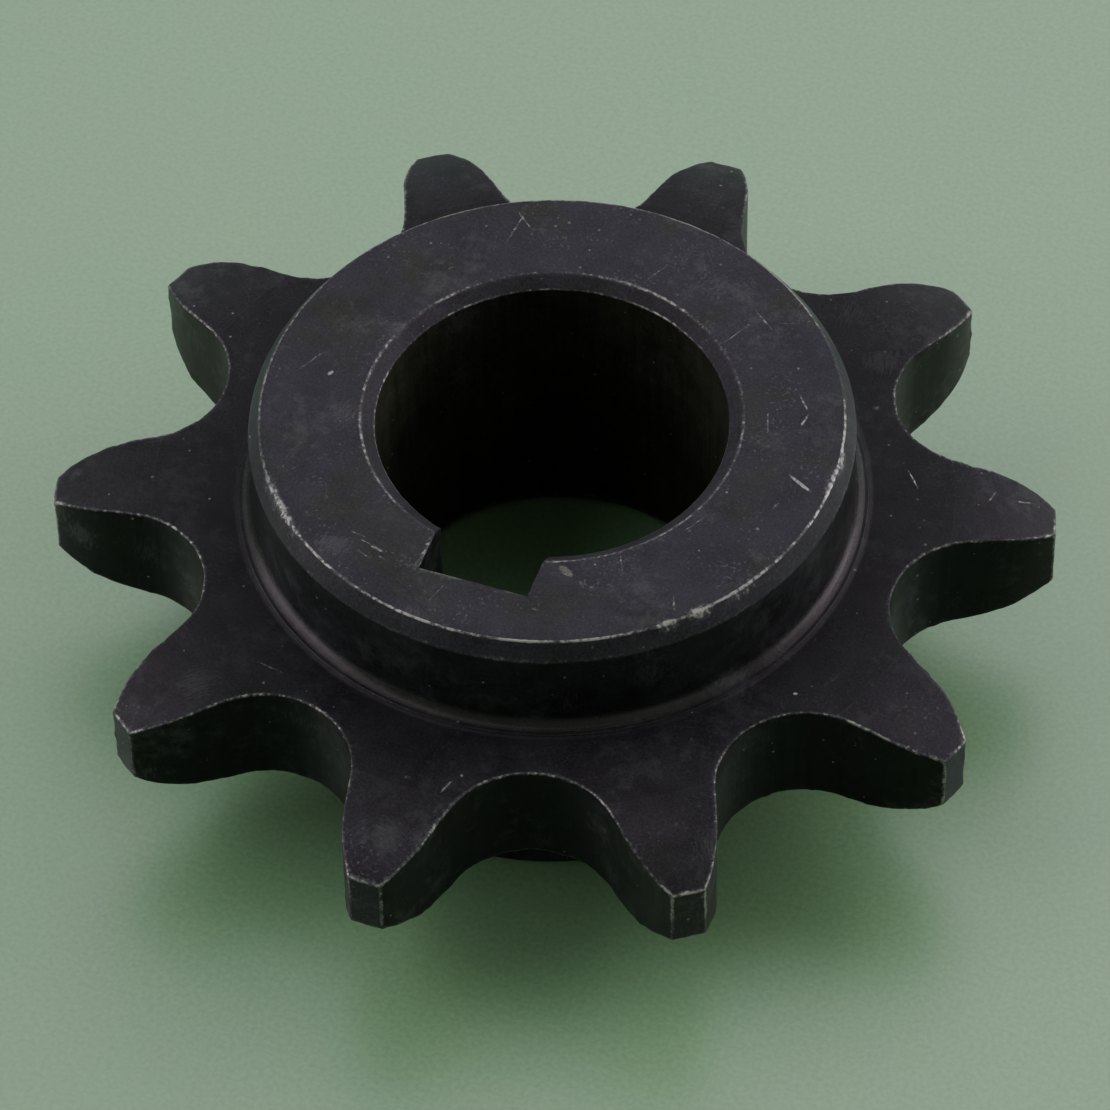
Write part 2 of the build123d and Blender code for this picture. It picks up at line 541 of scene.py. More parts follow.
# %% Knock and rub the named places
hub_level = overall_height / MM
plate_level = plate_top / MM
MARK_HEIGHT = 0.3  # how far above and below its middle a placed mark reaches, in millimetres
knocked_places = [
    # x, y and z of the middle, half length, half width, angle, depth (mm), bareness
    ("nick beside the keyway", (3.9, -8.35, hub_level), (0.6, 0.32), -21, 0.07, 0.3),
    ("bruise beside the nick", (5.1, -8.75, hub_level), (0.55, 0.3), -12, 0.03, 0.35),
    ("rim knocked at the front", (9.1, -9.6, hub_level), (0.8, 0.17), 42, 0.02, 0.84),
    ("rim knocked further right", (10.2, -8.4, hub_level), (0.85, 0.21), 50, 0.03, 0.92),
    ("rim rubbed on the front right", (11.6, -6.7, hub_level), (1.8, 0.2), 60, 0.01, 0.82),
    ("rim rubbed on the left", (-9.4, -9.2, hub_level), (2.6, 0.3), -45, 0.0, 0.76),
    ("rim rubbed on the right", (13.15, 1.6, hub_level), (0.16, 2.4), 0, 0.0, 0.8),
    ("keyway's left edge", (-2.4, -9.4, hub_level), (0.13, 1.3), 0, 0.02, 0.76),
    ("keyway's floor edge", (-1.3, -10.45, hub_level), (1.7, 0.12), 2, 0.0, 0.72),
]
for name, middle, reach, angle, depth, bareness in knocked_places:
    turn = Matrix.Rotation(-radians(angle), 3, "Z")
    touched = 0
    for vert in bm.verts:
        local = turn @ (vert.co / MM - Vector(middle))
        away = Vector((local.x / reach[0], local.y / reach[1], local.z / MARK_HEIGHT)).length
        if away >= 1:
            continue
        share = (1 - away**2) ** 0.5
        vert.co.z -= depth * share * MM
        vert[wear] = max(vert[wear], bareness * share)
        touched += 1
    print(f"{name}: {touched} points")

# %% Keep every point inside the turned blank
for vert in bm.verts:
    vert.co = [min(max(*pair), high) for *pair, high in zip(vert.co, node_low, node_high)]

# %% [markdown]
# ## The finished piece
#
# The one blackened body has five finishes, because each tool left its own surface.  A face is given
# its finish by where it lies and which way it looks.  The Weighted Normal modifier then takes the
# shading from the large faces, so that a flat face stays flat right up to its rounded edge.

# %% Make the piece
bm.normal_update()
mesh = bpy.data.meshes.new("sprocket_body")
TURNED, MILLED, BORED, CHAMFERED, BURNISHED = range(5)
for face in bm.faces:
    face.smooth = True
    centre = face.calc_center_median()
    radius = centre.xy.length
    upright = abs(face.normal.z) < 0.5
    slanted = 0.15 < abs(face.normal.z) < 0.97
    in_gap = join_radius < radius < tip_radius - 2 * NEAR and upright
    in_slot = (to_key @ centre).x > 0 and radius < key_clear_radius and upright
    if radius < bore_radius + NEAR:
        face.material_index = BORED
    elif in_gap or in_slot:
        face.material_index = MILLED
    elif slanted and radius < hub_radius:
        face.material_index = CHAMFERED
    elif slanted and radius < ledge_radius:
        face.material_index = BURNISHED
    else:
        face.material_index = TURNED
bm.to_mesh(mesh)
sprocket = bpy.data.objects.new("sprocket_body", mesh)
bpy.context.collection.objects.link(sprocket)
evened = sprocket.modifiers.new("even_shading", "WEIGHTED_NORMAL")
evened.weight = 100
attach(sprocket, "root")
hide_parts("chain_sprocket")
print(f"{sprocket.name}: {sum(len(face.vertices) - 2 for face in mesh.polygons)} triangles")
bm.free()

# %% [markdown]
# ## The finish: black oxide on steel
#
# The sprocket was blackened in a hot salt bath.  That turns the outermost micrometre of steel into
# black iron oxide, which keeps every tool mark and has a dull, faintly blue sheen.  It isn't
# paint, so where it is rubbed through, bright steel shows.  One material is therefore two things:
# an oxide that reflects little and isn't a metal, and bare steel that is.  A single `bare` value
# from 0 to 1 chooses between them, in colour, in metal and in roughness together.

# %% Helpers for colours and nodes
def from_hex(code):
    """An sRGB hex colour as the linear values that shader sockets hold."""
    channels = [int(code[i:i + 2], 16) / 255 for i in (1, 3, 5)]
    linear = [c / 12.92 if c <= 0.04045 else ((c + 0.055) / 1.055) ** 2.4 for c in channels]
    return (*linear, 1.0)


def fill(node, inputs):
    """Fills a node's sockets with values or outputs.  A node stands for its own first output."""
    for socket, value in inputs.items():
        if isinstance(value, bpy.types.Node):
            value = value.outputs[0]
        if isinstance(value, bpy.types.NodeSocket):
            node.id_data.links.new(value, node.inputs[socket])
        else:
            node.inputs[socket].default_value = value


def add(tree, kind, inputs=None, **settings):
    """Adds a shader node of this kind to a tree, with its settings, and fills its sockets."""
    node = tree.nodes.new("ShaderNode" + kind)
    for name, value in settings.items():
        setattr(node, name, value)
    fill(node, inputs or {})
    return node


# %% [markdown]
# ### Tool marks
#
# A lathe leaves a fine spiral, one line per turn, so the turned faces carry rings whose strength
# depends on the distance from the shaft and on the height.  The cutter and the broach leave
# straight marks along the shaft.  Both are noise stretched along the mark.

# %% Turned and milled marks
TURNING_FEED = 0.16 * MM  # about 0.1 mm on a real lathe, drawn coarser so that the lines show
MILLING_MARK = 0.3 * MM  # drawn coarser than real ones too
MARK_RUN = 8 * MM


def from_shaft(tree, place):
    """The distance from the shaft's axis."""
    flat = add(tree, "VectorMath", {0: place, 1: (1, 1, 0)}, operation="MULTIPLY")
    return add(tree, "VectorMath", {0: flat}, operation="LENGTH").outputs["Value"]


def turned_marks(tree, place):
    """Rings about the shaft that fade in and out along their run."""
    lines = add(tree, "VectorMath", {0: place, 1: (0, 0, 1 / TURNING_FEED)}, operation="DOT_PRODUCT")
    rings = add(
        tree, "Math", {0: from_shaft(tree, place), 1: 1 / TURNING_FEED, 2: lines.outputs["Value"]},
        operation="MULTIPLY_ADD",
    )
    return add(
        tree, "TexNoise",
        {"Vector": place, "W": rings, "Scale": 1 / MARK_RUN, "Detail": 1.0},
        noise_dimensions="4D",
    )


def milled_marks(tree, place):
    """Straight marks along the shaft."""
    stretch = (1 / MILLING_MARK, 1 / MILLING_MARK, 1 / MARK_RUN)
    at = add(tree, "VectorMath", {0: place, 1: stretch}, operation="MULTIPLY")
    return add(tree, "TexNoise", {"Vector": at, "Scale": 1.0, "Detail": 3.0, "Roughness": 0.6})


# %% [markdown]
# ### Scratches and stains
#
# A few marks are long enough to be seen one by one, so each is given its own place.  A Mapping node of
# the TEXTURE kind turns and stretches space until a mark becomes a ball of radius one, which a
# length then cuts out.  Noise added to the position makes its sides ragged.  Each mark has a
# strength: a light touch only pales the oxide here and there, and a hard one bares the steel.

# %% Marks given one by one
# x and y of the middle, half length, half width (mm), angle, strength
hub_scratches = [
    (11.9, 0.0, 0.9, 0.1, -26, 0.92), (-1.0, -11.6, 0.75, 0.04, -105, 0.7),
    (7.0, 8.7, 0.9, 0.05, -37, 0.74), (8.2, 8.9, 0.65, 0.03, 20, 0.62), (6.2, 7.6, 1.0, 0.035, 65, 0.68),
    (10.4, 4.6, 0.6, 0.06, -49, 0.8), (10.8, 3.6, 0.5, 0.07, -96, 0.86), (9.3, 2.9, 0.8, 0.05, -70, 0.78),
    (1.4, 9.7, 1.05, 0.035, 66, 0.66), (-5.5, 10.7, 0.75, 0.06, -39, 0.74),
    (-5.7, 10.1, 1.35, 0.05, -94, 0.7), (-11.4, -0.8, 1.1, 0.045, 65, 0.66),
    (-10.3, -1.2, 0.2, 0.12, 63, 0.88), (-7.6, 6.7, 0.2, 0.08, 48, 0.66), (6.1, -7.2, 0.7, 0.04, -64, 0.7),
    (8.2, -4.3, 0.1, 0.1, 0, 0.85), (-4.4, -10.1, 0.4, 0.09, -11, 0.88),
    (-4.8, -10.6, 0.5, 0.05, -18, 0.76), (-5.5, -9.6, 0.5, 0.04, -8, 0.7),
    (-5.0, -9.9, 0.4, 0.03, -14, 0.7), (-4.0, -10.5, 0.3, 0.05, -20, 0.74),
    (9.0, -8.4, 0.6, 0.05, -67, 0.7), (8.3, -3.8, 0.9, 0.03, 63, 0.68), (11.9, -5.6, 0.9, 0.03, 57, 0.68),
    (11.3, -1.6, 0.3, 0.06, 69, 0.7),
]
plate_scratches = [
    (15.2, 6.3, 0.75, 0.04, -48, 0.84), (15.8, 5.2, 0.09, 0.06, 20, 0.8), (12.2, 9.8, 0.26, 0.16, 20, 0.56),
    (1.8, -17.7, 0.5, 0.07, 73, 0.86), (2.2, -16.9, 0.08, 0.08, 0, 1.0), (0.0, -17.8, 0.2, 0.11, 21, 0.5),
    (14.4, -7.4, 0.14, 0.08, 14, 1.0), (-8.0, -14.2, 1.0, 0.04, -8, 0.6), (15.7, -6.0, 0.8, 0.13, 66, 0.4),
]
# the same, with z after x and y, because the teeth curve down
tooth_scratches = [
    (1.5, -20.4, 9.9, 0.35, 0.2, 15, 0.42), (1.9, -18.9, 10.1, 0.5, 0.16, 62, 0.42),
    (18.9, 6.7, 10.0, 0.5, 0.06, 82, 0.68), (20.3, 7.2, 9.6, 0.7, 0.04, 30, 0.7),
    (-13.2, -17.7, 9.4, 0.5, 0.12, -31, 0.46),
]
scratches = [(x, y, hub_level, *rest) for x, y, *rest in hub_scratches]
scratches += [(x, y, plate_level, *rest) for x, y, *rest in plate_scratches]
scratches += tooth_scratches
stains = [
    (3.9, -8.35, hub_level, 0.5, 0.24, -21, 0.9), (5.15, -8.8, hub_level, 0.6, 0.35, -12, 0.5),
    (5.0, -9.7, hub_level, 0.3, 0.5, 15, 0.42),
]
RAGGED_SIDES = 0.11 * MM  # how far the sides wander, and over what length


def placed_marks(tree, place, marks):
    """The strength of the strongest placed mark at a point, and 0 away from them all."""
    wander = add(tree, "TexNoise", {"Vector": place, "Scale": 1 / RAGGED_SIDES, "Detail": 1.0})
    centred = add(tree, "VectorMath", {0: wander.outputs["Color"], 1: (-0.5,) * 3}, operation="ADD")
    ragged = add(
        tree, "VectorMath", {0: centred, 1: (RAGGED_SIDES,) * 3, 2: place},
        operation="MULTIPLY_ADD",
    )
    strongest = 0.0
    for x, y, z, half_length, half_width, angle, strength in marks:
        local = add(
            tree, "Mapping",
            {
                "Vector": ragged,
                "Location": (x * MM, y * MM, z * MM),
                "Rotation": (0, 0, radians(angle)),
                "Scale": (half_length * MM, half_width * MM, MARK_HEIGHT * MM),
            },
            vector_type="TEXTURE",
        )
        away = add(tree, "VectorMath", {0: local}, operation="LENGTH").outputs["Value"]
        mark = add(tree, "MapRange", {"Value": away, "From Min": 1.15, "From Max": 0.65, "To Max": strength})
        strongest = add(tree, "Math", {0: strongest, 1: mark}, operation="MAXIMUM")
    return strongest


# %% [markdown]
# ### Scuffs, smears, flecks and dust
#
# Loose parts rub each other in the box.  What that leaves is fine: flecks where a high grain of
# the oxide was knocked off, ragged smears, and small hatches of short parallel scuffs, each hatch
# in a direction of its own.  A Voronoi texture gives every hatch its own random colour, and that
# colour turns the noise that draws the hatch.  A slow noise added to the position bends the scuffs
# a little.  Dust is the balls round the points of a finer Voronoi texture.

# %% Scuffs in small hatches
HATCH_SIZE = 2.6 * MM
SCUFF_LENGTH = 0.5 * MM
SCUFF_WIDTH = 0.07 * MM  # drawn coarser than real scuffs, so that they show
SCUFF_WANDER = 0.12 * MM


def scuff_hatches(tree, place):
    """Values near 1 in short parallel scuffs that fade towards each hatch's border."""
    wander = add(tree, "TexNoise", {"Vector": place, "Scale": 1 / SCUFF_LENGTH, "Detail": 1.0})
    bent = add(
        tree, "VectorMath", {0: wander.outputs["Color"], 1: (SCUFF_WANDER,) * 3, 2: place},
        operation="MULTIPLY_ADD",
    )
    cells = add(tree, "TexVoronoi", {"Vector": place, "Scale": 1 / HATCH_SIZE})
    random = add(tree, "SeparateXYZ", {0: cells.outputs["Color"]})
    angle = add(tree, "Math", {0: random.outputs[0], 1: pi}, operation="MULTIPLY")
    turned = add(tree, "VectorRotate", {"Vector": bent, "Angle": angle}, rotation_type="Z_AXIS")
    stretch = (1 / SCUFF_LENGTH, 1 / SCUFF_WIDTH, 1 / SCUFF_LENGTH)
    along = add(tree, "VectorMath", {0: turned, 1: stretch}, operation="MULTIPLY")
    streak = add(tree, "TexNoise", {"Vector": along, "Scale": 1.0, "Detail": 2.0, "Roughness": 0.7})
    chosen = add(
        tree, "MapRange", {"Value": random.outputs[1], "From Min": 0.3, "From Max": 1.0, "To Max": 0.5}
    )
    fading = add(tree, "MapRange", {"Value": cells.outputs["Distance"], "From Min": 0.55, "From Max": 0.15})
    pressed = add(tree, "Math", {0: chosen, 1: fading, 2: streak}, operation="MULTIPLY_ADD")
    return add(tree, "MapRange", {"Value": pressed, "From Min": 0.7, "From Max": 0.95})


# %% Smears
SMEAR_SIZE = 0.7 * MM
SMEAR_PATCH = 3.5 * MM


def smears(tree, place):
    """Ragged pale blots where another part pressed and slid."""
    blot = add(tree, "TexNoise", {"Vector": place, "Scale": 1 / SMEAR_SIZE, "Detail": 4.0, "Roughness": 0.65})
    patch = add(tree, "TexNoise", {"Vector": place, "Scale": 1 / SMEAR_PATCH, "Detail": 1.0})
    gathered = add(tree, "Math", {0: patch, 1: 0.6, 2: blot}, operation="MULTIPLY_ADD")
    return add(tree, "MapRange", {"Value": gathered, "From Min": 0.84, "From Max": 1.1})


# %% Flecks
FLECK_SIZE = 0.15 * MM  # drawn coarser than real flecks
FLECK_PATCH = 3.0 * MM


def flecks(tree, place, rubbed):
    """Small light flecks, closer together in patches and where the surface is rubbed."""
    fine = add(tree, "TexNoise", {"Vector": place, "Scale": 1 / FLECK_SIZE, "Detail": 1.0})
    patch = add(
        tree, "TexNoise", {"Vector": place, "Scale": 1 / FLECK_PATCH, "Detail": 3.0, "Roughness": 0.6}
    )
    gathered = add(tree, "Math", {0: patch, 1: 0.7, 2: fine}, operation="MULTIPLY_ADD")
    helped = add(tree, "Math", {0: rubbed, 1: 0.35, 2: gathered}, operation="MULTIPLY_ADD")
    return add(tree, "MapRange", {"Value": helped, "From Min": 1.03, "From Max": 1.28})


# %% Dust
DUST_SPACING = 0.5 * MM
DUST_RADIUS = 0.15  # of the largest speck, as a share of the spacing


def dust_specks(tree, place):
    """How much dust covers a point, in specks of many sizes."""
    specks = add(tree, "TexVoronoi", {"Vector": place, "Scale": 1 / DUST_SPACING})
    chosen = add(tree, "SeparateXYZ", {0: specks.outputs["Color"]})
    size = add(
        tree, "MapRange",
        {"Value": chosen.outputs[0], "From Min": 0.7, "From Max": 1.0, "To Max": DUST_RADIUS},
    )
    speck = add(tree, "Math", {0: specks.outputs["Distance"], 1: size}, operation="LESS_THAN")
    return add(tree, "Math", {0: speck, 1: chosen.outputs[1]}, operation="MULTIPLY")


# %% [markdown]
# ### Handling, and painted sheen on the teeth
#
# The places that stand proud are touched most: the end faces of the hub and the boss, and the
# outer part of the teeth.  Their oxide is thinner and greyer.  On the teeth the greyer tone is also
# painted sheen: it stands in for the light that their curved outer part catches.  The line where
# the teeth start to curve down is rubbed too, and shows as a thin pale ring.  Height and distance
# from the shaft say where all this is, so no map has to be painted.

# %% Where the part is handled
def handling_and_tip_sheen(tree, place):
    """1 on the two end faces, rising along the teeth from where their relief starts, 0 elsewhere; on the
    teeth it is partly painted sheen.
    """
    radius = from_shaft(tree, place)
    relief_wear_and_sheen = add(
        tree, "MapRange",
        {"Value": radius, "From Min": relief_start, "From Max": relief_start + 0.08 * MM, "To Max": 0.14},
    )
    # on the teeth the greyer tone is partly handling and partly painted sheen on their curved outer part
    tip_wear_and_sheen = add(
        tree, "MapRange",
        {"Value": radius, "From Min": relief_start, "From Max": tip_radius, "To Max": 0.36},
        interpolation_type="SMOOTHSTEP",
    )
    line = add(tree, "Math", {0: radius, 1: relief_start + 0.05 * MM, 2: 0.045 * MM}, operation="COMPARE")
    lined = add(tree, "Math", {0: line, 1: 0.16, 2: relief_wear_and_sheen}, operation="MULTIPLY_ADD")
    teeth = add(tree, "Math", {0: tip_wear_and_sheen, 1: lined}, operation="ADD")
    height = add(tree, "SeparateXYZ", {0: place}).outputs[2]
    half_height = overall_height / 2
    from_middle = add(tree, "Math", {0: height, 1: half_height}, operation="SUBTRACT")
    reach = add(tree, "Math", {0: from_middle}, operation="ABSOLUTE")
    on_ends = add(
        tree, "MapRange",
        {"Value": reach, "From Min": half_height - 0.12 * MM, "From Max": half_height - 0.03 * MM},
        interpolation_type="SMOOTHSTEP",
    )
    return add(tree, "Math", {0: teeth, 1: on_ends}, operation="MAXIMUM")


# %% [markdown]
# ### Blackened steel
#
# Everything meets here.  The oxide's tone comes from the tool marks, a cloudy mottle and a fine
# grain.  Handled places are greyer, with an olive bloom in patches where salts of the bath dried,
# and the outer part of the teeth is greyer also as painted sheen.
# Flecks, scuffs and smears lighten it, and bare steel shows where wear or a scratch is strong
# enough to beat the noise.  Black oxide is dark and dull, so its specular level is low.  Bare
# steel is a full metal and a little smoother.

# %% Values of the finish
BARE_STEEL = "#968d8f"
RUBBED_OXIDE = "#4c4c50"
FLECK_GREY = "#5e5e62"
STAIN_TONE = "#797774"
DUST_GREY = "#83827e"
OXIDE_TINT = "#f8daee"
SALT_BLOOM = "#38392f"
BLOOM_SIZE = 4 * MM
MOTTLE_SIZE = 2.2 * MM
GRAIN_SIZE = 0.13 * MM  # drawn far coarser than the real oxide's grain, so that it shows
WEAR_GRAIN = 0.22 * MM  # drawn coarser than real wear breaks up
SCRATCH_DEPTH = 0.86  # the share of a placed mark's strength that counts towards bare steel
BUMP_HEIGHT = 0.006 * MM


def blackened_steel(name, marks_of, dark, light, handled_and_sheen_tone, roughness, specular, scratched=False):
    """A material of black oxide on steel that carries the tool marks made by marks_of."""
    material = bpy.data.materials.new(name)
    material.use_nodes = True
    tree = material.node_tree
    place = add(tree, "TexCoord").outputs["Object"]
    marks = marks_of(tree, place)
    mottle, grain, bloom, breakup = (
        add(tree, "TexNoise", {"Vector": place, "Scale": 1 / size, "Detail": detail, "Roughness": rough})
        for size, detail, rough in (
            (MOTTLE_SIZE, 4.0, 0.6), (GRAIN_SIZE, 2.0, 0.7), (BLOOM_SIZE, 3.0, 0.6), (WEAR_GRAIN, 3.0, 0.65)
        )
    )

    # the oxide's own tone, greyed where it is handled, and on the teeth also by painted sheen
    coarse = add(tree, "Math", {0: marks, 1: 0.7, 2: mottle}, operation="MULTIPLY_ADD")
    tone = add(tree, "Math", {0: grain, 1: 0.5, 2: coarse}, operation="MULTIPLY_ADD")
    share = add(tree, "MapRange", {"Value": tone, "From Min": 0.88, "From Max": 1.32})
    oxide = add(tree, "Mix", {0: share, 6: from_hex(dark), 7: from_hex(light)}, data_type="RGBA").outputs[2]
    # handling on the end faces; on the teeth, handling and painted sheen together
    touched = handling_and_tip_sheen(tree, place)
    uneven = add(tree, "MapRange", {"Value": share, "To Min": 0.5, "To Max": 1.0})
    handling_and_sheen_share = add(tree, "Math", {0: touched, 1: uneven}, operation="MULTIPLY")
    bloomed = add(tree, "MapRange", {"Value": bloom, "From Min": 0.5, "From Max": 0.66, "To Max": 0.7})
    skin = add(
        tree, "Mix", {0: bloomed, 6: from_hex(handled_and_sheen_tone), 7: from_hex(SALT_BLOOM)}, data_type="RGBA"
    ).outputs[2]
    greyed = add(tree, "Mix", {0: handling_and_sheen_share, 6: oxide, 7: skin}, data_type="RGBA").outputs[2]

    # lightened by scuffs, scratches and flecks, and along every rounded edge
    worn = add(tree, "Attribute", attribute_name="wear").outputs["Fac"]
    marked = worn
    bareness = worn
    if scratched:
        scratch = placed_marks(tree, place, scratches)
        marked = add(tree, "Math", {0: worn, 1: scratch}, operation="MAXIMUM")
        cut = add(tree, "Math", {0: scratch, 1: SCRATCH_DEPTH}, operation="MULTIPLY")
        bareness = add(tree, "Math", {0: worn, 1: cut}, operation="MAXIMUM")
    hatched = scuff_hatches(tree, place)
    smeared = smears(tree, place)
    scuffs = add(tree, "Math", {0: smeared, 1: 0.9, 2: hatched}, operation="MULTIPLY_ADD")
    scuffing = add(tree, "Math", {0: touched, 1: 0.5, 2: 0.38}, operation="MULTIPLY_ADD")
    scuffed = add(tree, "Math", {0: scuffs, 1: scuffing}, operation="MULTIPLY")
    broken = add(tree, "Math", {0: breakup, 1: 0.8, 2: marked}, operation="MULTIPLY_ADD")
    edge_rub = add(tree, "MapRange", {"Value": broken, "From Min": 0.75, "From Max": 1.05})
    rub = add(tree, "Math", {0: scuffed, 1: edge_rub}, operation="MAXIMUM")
    rubbed = add(tree, "Mix", {0: rub, 6: greyed, 7: from_hex(RUBBED_OXIDE)}, data_type="RGBA").outputs[2]
    exposed = add(tree, "Math", {0: touched, 1: 1.2, 2: 0.25}, operation="MULTIPLY_ADD", use_clamp=True)
    knocked_off = flecks(tree, place, worn) if marks_of is turned_marks else 0.0
    fleck = add(tree, "Math", {0: knocked_off, 1: exposed}, operation="MULTIPLY")
    flecked = add(tree, "Mix", {0: fleck, 6: rubbed, 7: from_hex(FLECK_GREY)}, data_type="RGBA").outputs[2]

    # stains, then bare steel on worn edges and in scratches
    stained = flecked
    if scratched:
        stain = placed_marks(tree, place, stains)
        patchy = add(tree, "Math", {0: breakup, 1: 1.6, 2: stain}, operation="MULTIPLY_ADD")
        soiled = add(tree, "MapRange", {"Value": patchy, "From Min": 1.3, "From Max": 1.95})
        stained = add(
            tree, "Mix", {0: soiled, 6: flecked, 7: from_hex(STAIN_TONE)}, data_type="RGBA"
        ).outputs[2]
    speckle = add(
        tree, "MapRange",
        {"Value": grain, "From Min": 0.3, "From Max": 0.7, "To Min": 0.84, "To Max": 1.18},
    )
    grainy = add(tree, "VectorMath", {0: stained, "Scale": speckle}, operation="SCALE")
    beaten = add(tree, "Math", {0: breakup, 1: 1.3, 2: bareness}, operation="MULTIPLY_ADD")
    bare = add(
        tree, "MapRange", {"Value": beaten, "From Min": 1.2, "From Max": 1.5},
        interpolation_type="SMOOTHSTEP",
    )
    metal = add(tree, "Mix", {0: bare, 6: grainy, 7: from_hex(BARE_STEEL)}, data_type="RGBA").outputs[2]

    # dust
    dust = dust_specks(tree, place)
    dusty = add(tree, "Mix", {0: dust, 6: metal, 7: from_hex(DUST_GREY)}, data_type="RGBA").outputs[2]
    clean = add(tree, "Math", {0: 1.0, 1: dust}, operation="SUBTRACT")

    # gloss and relief
    metallic = add(tree, "Math", {0: bare, 1: clean}, operation="MULTIPLY")
    dull = add(tree, "MapRange", {
        "Value": mottle, "From Min": 0.3, "From Max": 0.7,
        "To Min": roughness - 0.05, "To Max": roughness + 0.05,
    })
    gloss = add(tree, "Math", {0: bare, 1: -0.06, 2: dull}, operation="MULTIPLY_ADD")
    relief = add(tree, "Math", {0: grain, 1: 0.6, 2: marks}, operation="MULTIPLY_ADD")
    bump = add(tree, "Bump", {"Height": relief, "Strength": 1.0, "Distance": BUMP_HEIGHT})
    fill(tree.nodes["Principled BSDF"], {
        "Base Color": dusty, "Metallic": metallic, "Roughness": gloss, "Normal": bump,
        "Specular IOR Level": specular, "Specular Tint": from_hex(OXIDE_TINT),
    })
    return material


# %% Five finishes, one for each tool
finishes = [
    # name, tool marks, dark, light and handled tone (also the painted sheen on the teeth), roughness,
    # specular level, placed marks
    # Turned steel: rings that catch the light in arcs, and a bluish satin sheen.
    ("black_oxide_turned_steel", turned_marks, "#141316", "#29282d", "#3c3a43", 0.42, 0.17, True),
    # Milled steel: darker and duller, because nothing has rubbed inside the gaps yet.
    ("black_oxide_milled_steel", milled_marks, "#0e0e0f", "#1c1d1d", "#1e1f1f", 0.45, 0.15),
    # Bored steel: dull and a little olive, and lighter than the milled gaps; the lightness is partly painted
    # fill light, standing in for light that the lamps don't bring deep into the bore.
    ("black_oxide_bored_steel", milled_marks, "#24251f", "#34362d", "#34362d", 0.5, 0.05),
    # Chamfered steel: paler than the turned faces, partly in its own finish and partly as painted sheen that
    # stands in for the low side windows the chamfers mirror; the pale chamfers frame the end faces.
    ("black_oxide_chamfered_steel", turned_marks, "#29282c", "#3d3b42", "#403e46", 0.4, 0.13),
    # Burnished steel: smooth from the tool's round nose, so the fillet shines in a narrow line.
    ("black_oxide_burnished_steel", turned_marks, "#131613", "#212522", "#212522", 0.23, 0.33),
]
for finish in finishes:
    material = blackened_steel(*finish)
    mesh.materials.append(material)
    print(f"{material.name}: {len(material.node_tree.nodes)} nodes")

# %% [markdown]
# ## The sheet it stands on
#
# A sheet of sage green card with a hard, slightly shiny face.  The shine matters: it lays a pale
# veil over the green wherever it mirrors the light from behind, and the veil is missing in front
# of the sprocket, where the green looks deeper.  Two greens in a slow cloud and a fine grain, partly
# fibres and partly painted glints of the shine, keep the card from looking flat.

# %% The sheet
SHEET_GRAIN = 0.25 * MM  # drawn coarser than real fibres, so that it shows
SHEET_CLOUD = 11 * MM
SHEET_HALF_WIDTH = 1.5
SHEET_ROUGHNESS = 0.42
SHEET_IOR = 1.78  # above the usual 1.5, because the card is coated
floor_mesh = bpy.data.meshes.new("sheet")
floor_bm = bmesh.new()
bmesh.ops.create_grid(floor_bm, x_segments=1, y_segments=1, size=SHEET_HALF_WIDTH)
floor_bm.to_mesh(floor_mesh)
floor_bm.free()
floor = bpy.data.objects.new("sheet", floor_mesh)
bpy.context.collection.objects.link(floor)
sheet = bpy.data.materials.new("coated_sage_card")
sheet.use_nodes = True
tree = sheet.node_tree
place = add(tree, "TexCoord").outputs["Object"]
cloud = add(tree, "TexNoise", {"Vector": place, "Scale": 1 / SHEET_CLOUD, "Detail": 6.0, "Roughness": 0.65})
fine = add(tree, "TexNoise", {"Vector": place, "Scale": 1 / SHEET_GRAIN, "Detail": 3.0})
tint = add(
    tree, "Mix", {0: cloud, 6: from_hex("#77a881"), 7: from_hex("#8bb37e")}, data_type="RGBA"
).outputs[2]
# the fine grain in the colour is partly fibres and partly painted glints of the sheet's shine
fibres_and_glints = add(
    tree, "MapRange", {"Value": fine, "From Min": 0.3, "From Max": 0.7, "To Min": 0.87, "To Max": 1.13}
)
grained = add(tree, "VectorMath", {0: tint, "Scale": fibres_and_glints}, operation="SCALE")
tooth = add(tree, "Bump", {"Height": fine, "Strength": 1.0, "Distance": 0.002 * MM})
fill(tree.nodes["Principled BSDF"], {
    "Base Color": grained, "Normal": tooth,
    "Roughness": SHEET_ROUGHNESS, "IOR": SHEET_IOR, "Specular IOR Level": 1.0,
})
floor_mesh.materials.append(sheet)

# %% [markdown]
# ## The camera
#
# A long lens 28 centimetres away looks down at the sprocket at about fifty degrees.
# The camera's axes are worked out as vectors, so that it can be tilted a little off the aim and
# rolled a little, as a camera held by hand is.

# %% The camera
CAMERA_DISTANCE = 278.6 * MM
CAMERA_ELEVATION = radians(49.62)
CAMERA_TURN = radians(22.137)
CAMERA_ROLL = radians(-1.278)
CAMERA_TILT = 0.0081
LENS = 196.95
aim_height = plate_top - relief_drop

